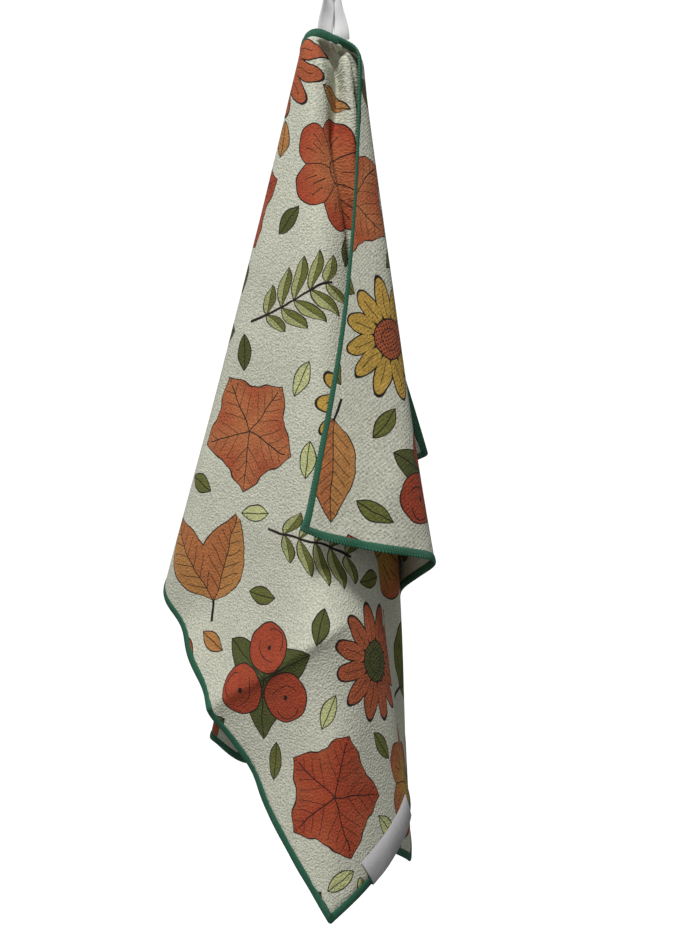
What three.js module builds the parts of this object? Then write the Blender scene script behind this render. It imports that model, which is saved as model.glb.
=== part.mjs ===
// A microfiber hand towel, hanging from the tape loop at the middle of one long edge.
//
// The towel is one rectangle of cloth with a bound edge. Hung from the middle of a long edge it
// drapes as a fan: every straight line from the loop to the rim stays nearly straight and turns
// downwards, and the fan closes into folds. A flat place on the towel is given as (across, down):
// across runs along the long edges with 0 at the loop, down runs from the upper long edge to the
// lower one. The fan angle of a place is measured at the loop, from 0 along the left half of the
// upper edge to 180 along its right half.
//
// Millimetres, +Z up, the front of the towel towards -Y. The origin is where the loop bears on
// whatever holds it up.
import * as THREE from "three";
import { mergeVertices } from "three/addons/utils/BufferGeometryUtils.js";

// Cut sizes of the towel
const LONG_EDGE = 660;
const SHORT_EDGE = 457;
const BINDING_WIDTH = 4.6;
const CLOTH_THICK = 1.2;
const BINDING_THICK = 2.2;
const RIM_THINNING = 0.6;
const SEAM_GAP = 0.5;

// The tape loop, from the upper edge of the towel to the inside of its top
const LOOP_LEAN = 1.6;
const LOOP_SETBACK = 2.6;
const LOOP_HEIGHT = 32;
const TAPE_WIDTH = 10;
const TAPE_THICK = 0.8;

// The label, folded over the lower edge near the corner that hangs lowest
const LABEL_START = 43;
const LABEL_LENGTH = 70;
const LABEL_HEIGHT = 17;
const LABEL_THICK = 0.6;
const LABEL_CLEARS = 1.8;

// Where the fan is measured: on a small ring round the loop, and on a far ring. The upper edge tilts
// where the loop holds it, and the cloth leaves it over the crown.
const NECK_RADIUS = 28;
const FAR_RADIUS = 450;
const SWING_START = 385;
const SWING_END = 480;
const EDGE_TILT = 20;
const CROWN_REACH = 34;
const EDGE_DIP = 2;
const BENDS_FULL = 84;

// One row for each fold line or turn of the fan, in order from the corner at the back to the corner
// in front. neckFan and fan: its fan angle near the loop and far from it, in degrees. nx, ny, drop:
// where it crosses the neck ring. x, y: where it points on the far ring. bx, by: how far it bows
// half way down. swing, where there is one: how far it swings to the right at its lower end.
const FOLDS = [
  { row: "back edge", neckFan: 0, fan: 0, nx: -14.5, ny: 7.2, drop: 13, x: 103, y: 180, bx: 0, by: 0 },
  { row: "back inner", neckFan: 6, fan: 12, nx: -17.5, ny: 6.2, drop: 15, x: 18, y: 146, bx: 0, by: 0 },
  { row: "back outer", neckFan: 12, fan: 23, nx: -19.3, ny: 3.6, drop: 17, x: -64, y: 107, bx: 0, by: 0 },
  { row: "left fold", neckFan: 20, fan: 32, nx: -19.5, ny: 0, drop: 18, x: -129, y: 65, bx: 2, by: 0 },
  { row: "left turn", neckFan: 25, fan: 35.5, nx: -18.8, ny: -3, drop: 19, x: -122, y: 41, bx: 2, by: 0 },
  { row: "left front", neckFan: 32, fan: 41, nx: -16.5, ny: -6, drop: 21, x: -86, y: 13, bx: 0, by: 0 },
  { row: "panel", neckFan: 42, fan: 47, nx: -13, ny: -8.5, drop: 24, x: -48, y: -18, bx: 0, by: -2 },
  { row: "crest", neckFan: 54, fan: 54, nx: -7, ny: -9, drop: 25, x: -2, y: -56, bx: 0, by: -3 },
  { row: "panel turn", neckFan: 65, fan: 59, nx: -2.5, ny: -7, drop: 26, x: 28, y: -40, bx: 0, by: -7 },
  { row: "panel lip", neckFan: 75, fan: 63, nx: 0, ny: -3.5, drop: 26, x: 41.5, y: -20, bx: -2, by: -10 },
  { row: "crease", neckFan: 83, fan: 66, nx: 1.5, ny: -0.3, drop: 27, x: 43, y: -3, bx: -6, by: -10 },
  { row: "crease out", neckFan: 89, fan: 67.5, nx: 4.5, ny: -1, drop: 27, x: 44, y: 6, bx: -3, by: -10 },
  { row: "strip", neckFan: 98, fan: 69.5, nx: 9.5, ny: -5, drop: 27, x: 48, y: 19, bx: 6, by: -10 },
  { row: "strip back", neckFan: 106, fan: 74, nx: 13, ny: -3, drop: 27, x: 36, y: 45, bx: 0, by: -3 },
  { row: "hidden a", neckFan: 112, fan: 80, nx: 11.5, ny: 0, drop: 27, x: 3, y: 26, bx: 0, by: -3 },
  { row: "hidden b", neckFan: 116, fan: 87, nx: 9.5, ny: 1.5, drop: 27, x: -24, y: -12, bx: 0, by: 0 },
  { row: "hidden c", neckFan: 120, fan: 94.5, nx: 7.5, ny: 3.5, drop: 28, x: -54, y: 20, bx: 0, by: 0 },
  { row: "hidden left", neckFan: 124, fan: 102, nx: 7, ny: 6.5, drop: 32, x: -76, y: 42, bx: 0, by: 0 },
  { row: "hidden d", neckFan: 128, fan: 108, nx: 9.5, ny: 8.5, drop: 34, x: -59, y: 68, bx: 0, by: 0 },
  { row: "hidden e", neckFan: 131, fan: 113.5, nx: 12, ny: 6.5, drop: 28, x: -24, y: 55, bx: 0, by: 0 },
  { row: "hidden f", neckFan: 134, fan: 118, nx: 13.5, ny: 4, drop: 28, x: 2, y: 41, bx: 0, by: 0 },
  { row: "corner in", neckFan: 137, fan: 121.5, nx: 15.2, ny: 2.8, drop: 27, x: 22, y: 51, bx: 0, by: 0, swing: 4 },
  { row: "corner fold", neckFan: 140, fan: 124.5, nx: 17, ny: 3.4, drop: 27, x: 38, y: 67, bx: 0, by: 0, swing: 9 },
  { row: "corner turn", neckFan: 142, fan: 126.5, nx: 17.6, ny: 5.3, drop: 27, x: 39, y: 81, bx: 0, by: 0, swing: 9 },
  { row: "hidden g", neckFan: 144, fan: 130.5, nx: 15.7, ny: 7.2, drop: 27, x: 11, y: 91, bx: 0, by: 0, swing: 4 },
  { row: "inner turn", neckFan: 147, fan: 134.5, nx: 14.2, ny: 9.2, drop: 27, x: -20, y: 100, bx: 0, by: 0 },
  { row: "inner bend", neckFan: 149.5, fan: 137, nx: 15.2, ny: 11.8, drop: 27, x: -18, y: 114, bx: 0, by: 0 },
  { row: "inner back", neckFan: 153, fan: 142, nx: 18.6, ny: 11.4, drop: 26, x: 12, y: 121, bx: 0, by: 0 },
  { row: "inner side", neckFan: 156.5, fan: 148, nx: 21, ny: 7, drop: 26, x: 47, y: 88, bx: 1, by: 0 },
  { row: "inner run", neckFan: 160, fan: 154, nx: 21.5, ny: 2, drop: 25, x: 50, y: 32, bx: 3, by: 0 },
  { row: "flap fold", neckFan: 166, fan: 165, nx: 20, ny: -4, drop: 24, x: 82, y: -60, bx: -3, by: -3 },
  { row: "flap middle", neckFan: 172, fan: 172, nx: 19.5, ny: -8, drop: 24, x: 34, y: -76, bx: 0, by: -5 },
  { row: "front edge", neckFan: 180, fan: 180, nx: 18, ny: -10.5, drop: 23, x: -40, y: -73, bx: 14, by: -6 },
];

// Soft bends that cross the folds, each along a flat line: how far the cloth moves back beside the
// line, how wide the bend is, and how much it stands forward on the line itself. Every bend fades
// out towards the end of its line, and over a few widths beside it.
const BENDS = [
  { row: "low ridge", from: [-330, 283], to: [-222, 312], back: 5, wide: 34, ridge: 2.5 },
  { row: "upper dip", from: [-250, 100], to: [-150, 190], back: 2, wide: 26, ridge: 1 },
];

const BEND_FADES_FROM = 0.55;
const BEND_FADES_TO = 1.25;
const BEND_SPREAD = 3.2;
const RIDGE_SHARE = 0.4;

// Mesh fineness, and the short step over which a slope is read
const COLUMNS_A_FOLD = 4;
const ROWS_DOWN = 20;
const ROW_CROWDING = 1.6;
const LOOP_STATIONS = 44;
const LABEL_STATIONS = 12;
const SLOPE_STEP = 0.4;

const HALF_LONG = LONG_EDGE / 2;
const radians = THREE.MathUtils.degToRad;
const smooth = THREE.MathUtils.smoothstep;

// Second derivatives of the natural cubic spline through (at, value), for use by splineAt.
function splineBends(at, value) {
  const n = at.length;
  const bend = new Array(n).fill(0);
  const carry = new Array(n).fill(0);
  for (let i = 1; i < n - 1; i++) {
    const before = at[i] - at[i - 1];
    const after = at[i + 1] - at[i];
    const turn = (value[i + 1] - value[i]) / after - (value[i] - value[i - 1]) / before;
    const pivot = 2 * (before + after) - before * carry[i - 1];
    carry[i] = after / pivot;
    bend[i] = (6 * turn - before * bend[i - 1]) / pivot;
  }
  for (let i = n - 2; i > 0; i--) bend[i] -= carry[i] * bend[i + 1];
  return bend;
}

function splineAt(at, value, bend, where) {
  let i = 0;
  while (i < at.length - 2 && where > at[i + 1]) i++;
  const span = at[i + 1] - at[i];
  const b = (where - at[i]) / span;
  const a = 1 - b;
  const curve = (a ** 3 - a) * bend[i] + (b ** 3 - b) * bend[i + 1];
  return a * value[i] + b * value[i + 1] + (curve * span * span) / 6;
}

// The folds as they stand at one distance from the loop: a smooth curve over the fan angle.
const ringCache = new Map();
function ringOf(radius) {
  const key = radius.toFixed(3);
  if (ringCache.has(key)) return ringCache.get(key);
  const reach = (radius - NECK_RADIUS) / (FAR_RADIUS - NECK_RADIUS);
  const bow = 4 * reach * (1 - reach);
  const nearness = Math.min(NECK_RADIUS / radius, 1);
  const low = smooth(radius, SWING_START, SWING_END);
  const ring = { fan: [], x: [], y: [], z: [] };
  for (const f of FOLDS) {
    const x = f.nx + (f.x - f.nx) * reach + f.bx * bow + (f.swing ?? 0) * low;
    const y = f.ny + (f.y - f.ny) * reach + f.by * bow;
    const aside = (x - f.nx) ** 2 + (y - f.ny) ** 2;
    ring.fan.push(radians(f.fan + (f.neckFan - f.fan) * nearness));
    ring.x.push(x);
    ring.y.push(y);
    ring.z.push(-f.drop - Math.sqrt(Math.max((radius - NECK_RADIUS) ** 2 - aside, 0)));
  }
  for (const axis of ["x", "y", "z"]) ring[axis + "Bend"] = splineBends(ring.fan, ring[axis]);
  ringCache.set(key, ring);
  return ring;
}

function onRing(radius, fan) {
  const ring = ringOf(radius);
  return new THREE.Vector3(
    splineAt(ring.fan, ring.x, ring.xBend, fan),
    splineAt(ring.fan, ring.y, ring.yBend, fan),
    splineAt(ring.fan, ring.z, ring.zBend, fan),
  );
}

// Inside the neck ring the cloth leaves the tilted upper edge and curves down to the ring.
function onCrown(radius, fan) {
  const part = radius / NECK_RADIUS;
  const rim = onRing(NECK_RADIUS, fan);
  const below = onRing(NECK_RADIUS + SLOPE_STEP, fan);
  const down = below.sub(rim).normalize();
  const tilted = fan - radians(EDGE_TILT);
  const out = new THREE.Vector3(-Math.cos(tilted), 0, -Math.sin(tilted));
  const middle = new THREE.Vector3(0, 0, -EDGE_DIP);
  return middle
    .multiplyScalar(2 * part ** 3 - 3 * part ** 2 + 1)
    .addScaledVector(out, (part ** 3 - 2 * part ** 2 + part) * CROWN_REACH)
    .addScaledVector(rim, 3 * part ** 2 - 2 * part ** 3)
    .addScaledVector(down, (part ** 3 - part ** 2) * CROWN_REACH);
}

// How far the soft bends push a flat place back.
function bendAt(across, down) {
  let push = 0;
  for (const b of BENDS) {
    const run = [b.to[0] - b.from[0], b.to[1] - b.from[1]];
    const length = Math.hypot(...run);
    const along = ((across - b.from[0]) * run[0] + (down - b.from[1]) * run[1]) / length;
    const beside = (-(across - b.from[0]) * run[1] + (down - b.from[1]) * run[0]) / length;
    const fade = 1 - smooth(along, length * BEND_FADES_FROM, length * BEND_FADES_TO);
    const hollow = smooth(beside, 0, b.wide) * (1 - smooth(beside, b.wide, b.wide * BEND_SPREAD));
    const crest = Math.exp(-((beside / (b.wide * RIDGE_SHARE)) ** 2));
    push += fade * (b.back * hollow - b.ridge * crest);
  }
  return push;
}

// Where a flat place of the towel hangs.
function hang(across, down) {
  const radius = Math.hypot(across, down);
  const fan = Math.atan2(down, -across);
  const place = radius < NECK_RADIUS ? onCrown(radius, fan) : onRing(radius, fan);
  place.y += bendAt(across, down) * smooth(radius, NECK_RADIUS, BENDS_FULL);
  return place;
}

// The direction out of the printed side, from the cloth a little to either side.
function facing(across, down) {
  const low = Math.max(down, SLOPE_STEP);
  const side = hang(across + SLOPE_STEP, low).sub(hang(across - SLOPE_STEP, low));
  const fall = hang(across, low + SLOPE_STEP).sub(hang(across, low - SLOPE_STEP));
  return side.cross(fall).negate().normalize();
}

// A flat place lifted off the middle of the cloth, towards the printed side where lift is positive.
function lifted(across, down, lift) {
  return hang(across, down).addScaledVector(facing(across, down), lift);
}

// A closed body from named corner points and the faces between them.
class Shell {
  constructor() {
    this.points = [];
    this.faces = [];
  }
  point(p) {
    this.points.push(p.x, p.y, p.z);
    return this.points.length / 3 - 1;
  }
  triangle(a, b, c) {
    this.faces.push(a, b, c);
  }
  quad(a, b, c, d) {
    this.triangle(a, b, c);
    this.triangle(a, c, d);
  }
  mesh(name, material) {
    const geometry = new THREE.BufferGeometry();
    geometry.setAttribute("position", new THREE.Float32BufferAttribute(this.points, 3));
    geometry.setIndex(this.faces);
    const merged = mergeVertices(geometry, 1e-4);
    merged.computeVertexNormals();
    const mesh = new THREE.Mesh(merged, material);
    mesh.name = name;
    return mesh;
  }
}

// A body swept through stations, each a ring of as many points. It joins up where closed is true,
// and is capped at both ends where it is false.
function sweep(stations, closed) {
  const shell = new Shell();
  const rings = stations.map((station) => station.map((p) => shell.point(p)));
  const sides = rings[0].length;
  const spans = closed ? rings.length : rings.length - 1;
  for (let i = 0; i < spans; i++) {
    const here = rings[i];
    const next = rings[(i + 1) % rings.length];
    for (let k = 0; k < sides; k++) {
      const other = (k + 1) % sides;
      shell.quad(here[k], here[other], next[other], next[k]);
    }
  }
  if (!closed) {
    for (const [ring, first] of [[rings[0], true], [rings[rings.length - 1], false]]) {
      const half = sides / 2;
      for (let k = 0; k < half - 1; k++) {
        const face = [ring[k], ring[sides - 1 - k], ring[sides - 2 - k], ring[k + 1]];
        shell.quad(...(first ? face : face.reverse()));
      }
    }
  }
  return shell;
}

// The cloth inside the binding, and the flat places of its net: columns fan out from the middle of
// its upper edge, a few to each fold and one to each lower corner, and rows crowd towards the loop.
const INSET = BINDING_WIDTH + SEAM_GAP;
const HALF_WIDE = HALF_LONG - INSET;
const DEEP = SHORT_EDGE - 2 * INSET;

function columnFans() {
  const fans = [];
  for (let i = 0; i < FOLDS.length - 1; i++) {
    for (let k = 0; k < COLUMNS_A_FOLD; k++) {
      fans.push(radians(FOLDS[i].fan + ((FOLDS[i + 1].fan - FOLDS[i].fan) * k) / COLUMNS_A_FOLD));
    }
  }
  fans.push(Math.PI);
  for (const corner of [Math.atan2(DEEP, HALF_WIDE), Math.atan2(DEEP, -HALF_WIDE)]) {
    const miss = fans.map((fan) => Math.abs(fan - corner));
    fans[miss.indexOf(Math.min(...miss))] = corner;
  }
  return fans;
}

const NET = columnFans().map((fan) => {
  const toSide = HALF_WIDE / Math.abs(Math.cos(fan));
  const toBottom = DEEP / Math.max(Math.sin(fan), 1e-9);
  const length = Math.min(toSide, toBottom);
  return Array.from({ length: ROWS_DOWN }, (_, i) => {
    const reach = length * ((i + 1) / ROWS_DOWN) ** ROW_CROWDING;
    return [-Math.cos(fan) * reach, INSET + Math.sin(fan) * reach];
  });
});
const APEX = [0, INSET];

function clothMesh(material) {
  const shell = new Shell();
  const place = (lift) => ([across, down]) => shell.point(lifted(across, down, lift));
  const face = (lift) => ({ apex: place(lift)(APEX), net: NET.map((c) => c.map(place(lift))) });
  const front = face(CLOTH_THICK / 2);
  const back = face(-CLOTH_THICK / 2);
  const last = ROWS_DOWN - 1;
  const final = NET.length - 1;
  for (let j = 0; j < final; j++) {
    const [a, b] = [front.net[j], front.net[j + 1]];
    const [c, d] = [back.net[j], back.net[j + 1]];
    shell.triangle(front.apex, a[0], b[0]);
    shell.triangle(back.apex, d[0], c[0]);
    for (let i = 0; i < last; i++) {
      shell.quad(a[i], a[i + 1], b[i + 1], b[i]);
      shell.quad(c[i], d[i], d[i + 1], c[i + 1]);
    }
    shell.quad(a[last], c[last], d[last], b[last]);
  }
  const [nearLeft, farLeft] = [[front.apex, ...front.net[0]], [back.apex, ...back.net[0]]];
  const [nearRight, farRight] = [[front.apex, ...front.net[final]], [back.apex, ...back.net[final]]];
  for (let i = 0; i < ROWS_DOWN; i++) {
    shell.quad(nearLeft[i], farLeft[i], farLeft[i + 1], nearLeft[i + 1]);
    shell.quad(nearRight[i], nearRight[i + 1], farRight[i + 1], farRight[i]);
  }
  return shell.mesh("towel_cloth", material);
}

// The binding: a firm strip that carries the sheet on from the cloth to the rim, a little thicker
// than the cloth at their seam. Its stations are the rim of the cloth's own net, mitred at corners.
function bindingMesh(material) {
  const half = BINDING_THICK / 2;
  const [first, final] = [NET[0], NET[NET.length - 1]];
  const lower = NET.slice(1, -1).map((column) => column[ROWS_DOWN - 1]);
  const rim = [...first.slice().reverse(), APEX, ...final, ...lower.reverse()];
  const reaches = (value, limit) => Math.abs(value - limit) < 1e-6;
  const stations = rim.map(([across, down]) => {
    const outAcross = reaches(Math.abs(across), HALF_WIDE) ? Math.sign(across) : 0;
    const outDown = reaches(down, INSET) ? -1 : reaches(down, INSET + DEEP) ? 1 : 0;
    const at = (out, lift) => lifted(across + outAcross * out, down + outDown * out, lift);
    const thin = half * RIM_THINNING;
    return [at(INSET, -thin), at(INSET, thin), at(SEAM_GAP, half), at(SEAM_GAP, -half)];
  });
  return sweep(stations, true).mesh("edge_binding", material);
}

// The tape's middle line: up from behind the binding, round a small eye, and down again. turn is how
// far the tape's width has turned, from side to side at 0 to front to back at 90, in degrees.
const LOOP_ROWS = [
  { row: "left end", x: -6, y: 3.3, z: -8, turn: -14 },
  { row: "left seam", x: -6, y: 2.7, z: 0, turn: -10 },
  { row: "left leg", x: -3.2, y: 2.6, z: 11, turn: 32 },
  { row: "left neck", x: -1.4, y: 2.8, z: 20, turn: 62 },
  { row: "left eye", x: -3.1, y: 2.6, z: 27.5, turn: 86 },
  { row: "top", x: 1.6, y: 2.6, z: 32.4, turn: 90 },
  { row: "right eye", x: 6.3, y: 2.6, z: 27.5, turn: 94 },
  { row: "right neck", x: 4.8, y: 2.8, z: 20, turn: 112 },
  { row: "right leg", x: 6.4, y: 2.6, z: 9, turn: 148 },
  { row: "right seam", x: 7.4, y: 2.7, z: -1, turn: 180 },
  { row: "right end", x: 7.5, y: 3.5, z: -8, turn: 180 },
];

function loopMesh(material) {
  const places = LOOP_ROWS.map((r) => new THREE.Vector3(r.x, r.y, r.z));
  const middle = new THREE.CatmullRomCurve3(places, false, "centripetal");
  const stations = [];
  for (let i = 0; i <= LOOP_STATIONS; i++) {
    const part = i / LOOP_STATIONS;
    const slot = Math.min(Math.floor(part * (LOOP_ROWS.length - 1)), LOOP_ROWS.length - 2);
    const between = smooth(part * (LOOP_ROWS.length - 1) - slot, 0, 1);
    const turn = THREE.MathUtils.lerp(LOOP_ROWS[slot].turn, LOOP_ROWS[slot + 1].turn, between);
    const along = middle.getTangent(part);
    const wide = new THREE.Vector3(Math.cos(radians(turn)), Math.sin(radians(turn)), 0);
    wide.addScaledVector(along, -wide.dot(along)).normalize();
    const thick = wide.clone().cross(along);
    const corner = (across, out) =>
      middle.getPoint(part).addScaledVector(wide, (across * TAPE_WIDTH) / 2)
        .addScaledVector(thick, (out * TAPE_THICK) / 2);
    stations.push([corner(-1, 1), corner(1, 1), corner(1, -1), corner(-1, -1)]);
  }
  return sweep(stations, false).mesh("hanging_loop", material);
}

// The label: a tape folded over the lower edge, with a flap on each face of the towel.
function labelMesh(material) {
  const overBinding = BINDING_THICK / 2 + SEAM_GAP;
  const overCloth = CLOTH_THICK / 2 + SEAM_GAP;
  const top = SHORT_EDGE - LABEL_HEIGHT;
  const seam = SHORT_EDGE - BINDING_WIDTH - LABEL_CLEARS;
  const rim = SHORT_EDGE + SEAM_GAP;
  const stations = [];
  for (let i = 0; i <= LABEL_STATIONS; i++) {
    const across = -HALF_LONG + LABEL_START + (LABEL_LENGTH * i) / LABEL_STATIONS;
    const inside = [[top, overCloth], [seam, overBinding], [rim, overBinding],
      [rim, -overBinding], [seam, -overBinding], [top, -overCloth]];
    const skin = inside.map(([down, lift]) => [
      down + (down === rim ? LABEL_THICK : 0),
      lift + Math.sign(lift) * LABEL_THICK,
    ]);
    stations.push([...skin, ...inside.reverse()].map(([down, lift]) => lifted(across, down, lift)));
  }
  return sweep(stations, false).mesh("side_label", material);
}

const cloth = new THREE.MeshStandardMaterial({ color: 0xc9cdc0, roughness: 0.92, metalness: 0 });
const thread = new THREE.MeshStandardMaterial({ color: 0x1f5a3e, roughness: 0.75, metalness: 0 });
const tape = new THREE.MeshStandardMaterial({ color: 0xe4e2e3, roughness: 0.85, metalness: 0 });
const satin = new THREE.MeshStandardMaterial({ color: 0xb9b9bc, roughness: 0.6, metalness: 0 });

const towel = new THREE.Group();
towel.add(clothMesh(cloth), bindingMesh(thread), labelMesh(satin));

const hangs = new THREE.Group();
hangs.add(towel, loopMesh(tape));
hangs.position.set(-LOOP_LEAN, -LOOP_SETBACK, -LOOP_HEIGHT);

const part = new THREE.Group();
part.add(hangs);
export default part;
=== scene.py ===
"""A microfiber hand towel, hanging in folds from the tape loop at the middle of one long edge.

Metres, +Z up, the front of the towel towards -Y, and the origin where the loop bears on its hook.
A flat place on the towel is (across, down): across runs along the long edges with 0 at the loop,
and down runs from the upper long edge to the lower one. Every line from the loop to the rim stays
nearly straight and turns downwards, so the cloth is a fan that closes into folds.
"""

import math
from collections import namedtuple

import bpy
import numpy as np
from bpy.props import FloatProperty, FloatVectorProperty, PointerProperty
from bpy.types import Operator, Panel, PropertyGroup
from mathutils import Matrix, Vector


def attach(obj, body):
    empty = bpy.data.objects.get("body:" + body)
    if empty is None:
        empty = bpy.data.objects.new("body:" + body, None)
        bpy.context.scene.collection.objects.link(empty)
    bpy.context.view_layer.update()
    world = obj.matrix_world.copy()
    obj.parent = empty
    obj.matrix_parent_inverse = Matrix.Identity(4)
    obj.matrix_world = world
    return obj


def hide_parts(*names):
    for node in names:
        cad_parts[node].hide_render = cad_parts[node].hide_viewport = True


bl_info = {
    "name": "Hanging Hand Towel",
    "version": (1, 0, 0),
    "blender": (4, 5, 0),
    "location": "3D View > Sidebar > Towel",
    "description": "Hangs a printed microfiber hand towel in folds from its tape loop",
    "category": "Add Mesh",
}

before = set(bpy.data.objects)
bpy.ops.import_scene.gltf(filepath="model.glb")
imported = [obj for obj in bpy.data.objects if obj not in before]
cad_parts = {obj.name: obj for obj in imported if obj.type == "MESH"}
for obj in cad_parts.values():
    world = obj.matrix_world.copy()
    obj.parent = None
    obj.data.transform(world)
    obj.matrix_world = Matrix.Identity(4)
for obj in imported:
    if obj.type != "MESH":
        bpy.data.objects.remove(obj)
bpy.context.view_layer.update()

# Where the middle of the upper edge hangs, from the top of the loop
LOOP_FOOT = np.array([-0.0016, -0.0026, -0.032])

# The fan is measured on a ring near the loop and on one far from it. Its lower ends swing between
# two distances. The upper edge tilts, dips under the loop and leaves it over a reach. The slow waves
# are full past the crown, and slopes are measured over a small step.
NECK_RADIUS = 0.028
FAR_RADIUS = 0.450
SWING_START = 0.385
SWING_END = 0.480
EDGE_TILT = math.radians(20)
CROWN_REACH = 0.031
EDGE_DIP = 0.002
WAVES_FULL = 0.084
SLOPE_STEP = 0.0004

# One row for each fold line or turn of the fan, from the corner at the back to the corner in front:
# its fan angle near the loop and far from it in degrees, where it crosses the neck ring and how far
# below the loop's foot, where it points on the far ring, how far it bows half way down, and how far
# its lower end swings to the right.
Fold = namedtuple("Fold", "row neck_fan fan nx ny drop x y bow_x bow_y swing", defaults=(0,) * 3)
FOLDS = [
    Fold("back edge", 0, 0, -0.0145, 0.0072, 0.013, 0.103, 0.180),
    Fold("back inner", 6, 12, -0.0175, 0.0062, 0.015, 0.018, 0.146),
    Fold("back outer", 12, 23, -0.0193, 0.0036, 0.017, -0.064, 0.107),
    Fold("left fold", 20, 32, -0.0195, 0, 0.018, -0.129, 0.065, 0.002),
    Fold("left turn", 25, 35.5, -0.0188, -0.003, 0.019, -0.122, 0.041, 0.002),
    Fold("left front", 32, 41, -0.0165, -0.006, 0.021, -0.086, 0.013),
    Fold("panel", 42, 47, -0.013, -0.0085, 0.024, -0.048, -0.018, 0, -0.002),
    Fold("crest", 54, 54, -0.007, -0.009, 0.025, -0.002, -0.056, 0, -0.003),
    Fold("panel turn", 65, 59, -0.0025, -0.007, 0.026, 0.028, -0.040, 0, -0.007),
    Fold("panel lip", 75, 63, 0, -0.0035, 0.026, 0.0415, -0.020, -0.002, -0.010),
    Fold("crease", 83, 66, 0.0015, -0.0003, 0.027, 0.043, -0.003, -0.006, -0.010),
    Fold("crease out", 89, 67.5, 0.0045, -0.001, 0.027, 0.044, 0.006, -0.003, -0.010),
    Fold("strip", 98, 69.5, 0.0095, -0.005, 0.027, 0.048, 0.019, 0.006, -0.010),
    Fold("strip back", 106, 74, 0.013, -0.003, 0.027, 0.036, 0.045, 0, -0.003),
    Fold("hidden a", 112, 80, 0.0115, 0, 0.027, 0.003, 0.026, 0, -0.003),
    Fold("hidden b", 116, 87, 0.0095, 0.0015, 0.027, -0.024, -0.012),
    Fold("hidden c", 120, 94.5, 0.0075, 0.0035, 0.028, -0.054, 0.020),
    Fold("hidden left", 124, 102, 0.007, 0.0065, 0.032, -0.076, 0.042),
    Fold("hidden d", 128, 108, 0.0095, 0.0085, 0.034, -0.059, 0.068),
    Fold("hidden e", 131, 113.5, 0.012, 0.0065, 0.028, -0.024, 0.055),
    Fold("hidden f", 134, 118, 0.0135, 0.004, 0.028, 0.002, 0.041),
    Fold("corner in", 137, 121.5, 0.0152, 0.0028, 0.027, 0.022, 0.051, 0, 0, 0.004),
    Fold("corner fold", 140, 124.5, 0.017, 0.0034, 0.027, 0.038, 0.067, 0, 0, 0.009),
    Fold("corner turn", 142, 126.5, 0.0176, 0.0053, 0.027, 0.039, 0.081, 0, 0, 0.009),
    Fold("hidden g", 144, 130.5, 0.0157, 0.0072, 0.027, 0.011, 0.091, 0, 0, 0.004),
    Fold("inner turn", 147, 134.5, 0.0142, 0.0092, 0.027, -0.020, 0.100),
    Fold("inner bend", 149.5, 137, 0.0152, 0.0118, 0.027, -0.018, 0.114),
    Fold("inner back", 153, 142, 0.0186, 0.0114, 0.026, 0.012, 0.121),
    Fold("inner side", 156.5, 148, 0.021, 0.007, 0.026, 0.047, 0.088, 0.001),
    Fold("inner run", 160, 154, 0.0215, 0.002, 0.025, 0.050, 0.032, 0.003),
    Fold("flap fold", 166, 165, 0.020, -0.004, 0.024, 0.082, -0.060, -0.003, -0.003),
    Fold("flap middle", 172, 172, 0.0195, -0.008, 0.024, 0.034, -0.076, 0, -0.005),
    Fold("front edge", 180, 180, 0.018, -0.0105, 0.023, -0.040, -0.073, 0.014, -0.006),
]

# Soft ridges and troughs across the folds, each along a flat line: how far the line stands forward,
# how wide it is on its upper and its lower side, and how round its crest is where that is sharp.
Crease = namedtuple("Crease", "row start end forward above below round", defaults=(0,))
CREASES = [
    Crease("low ridge", (-0.345, 0.296), (-0.225, 0.315), 0.0088, 0.028, 0.026, 0.0012),
    Crease("ridge lip", (-0.345, 0.296), (-0.225, 0.315), 0.0034, 0.013, 0.0046, 0.0007),
    Crease("panel dip", (-0.250, 0.100), (-0.150, 0.190), -0.0012, 0.022, 0.026),
    Crease("panel fold", (-0.225, 0.235), (-0.150, 0.330), 0.0018, 0.020, 0.012),
    Crease("low fold", (-0.275, 0.395), (-0.205, 0.345), 0.0018, 0.018, 0.014),
    Crease("flap fold", (0.340, 0.046), (0.275, 0.058), 0.0018, 0.012, 0.010),
    Crease("flap dip", (0.190, 0.012), (0.260, 0.055), -0.0012, 0.014, 0.018),
    Crease("back fold", (-0.300, 0.040), (-0.190, 0.070), 0.0015, 0.024, 0.016),
]

# Where a crease starts to fade out and is gone, and how far ahead of its start it fades in, all in
# its own lengths
FADES_OUT = (0.85, 1.35)
FADES_IN = 0.30

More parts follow.
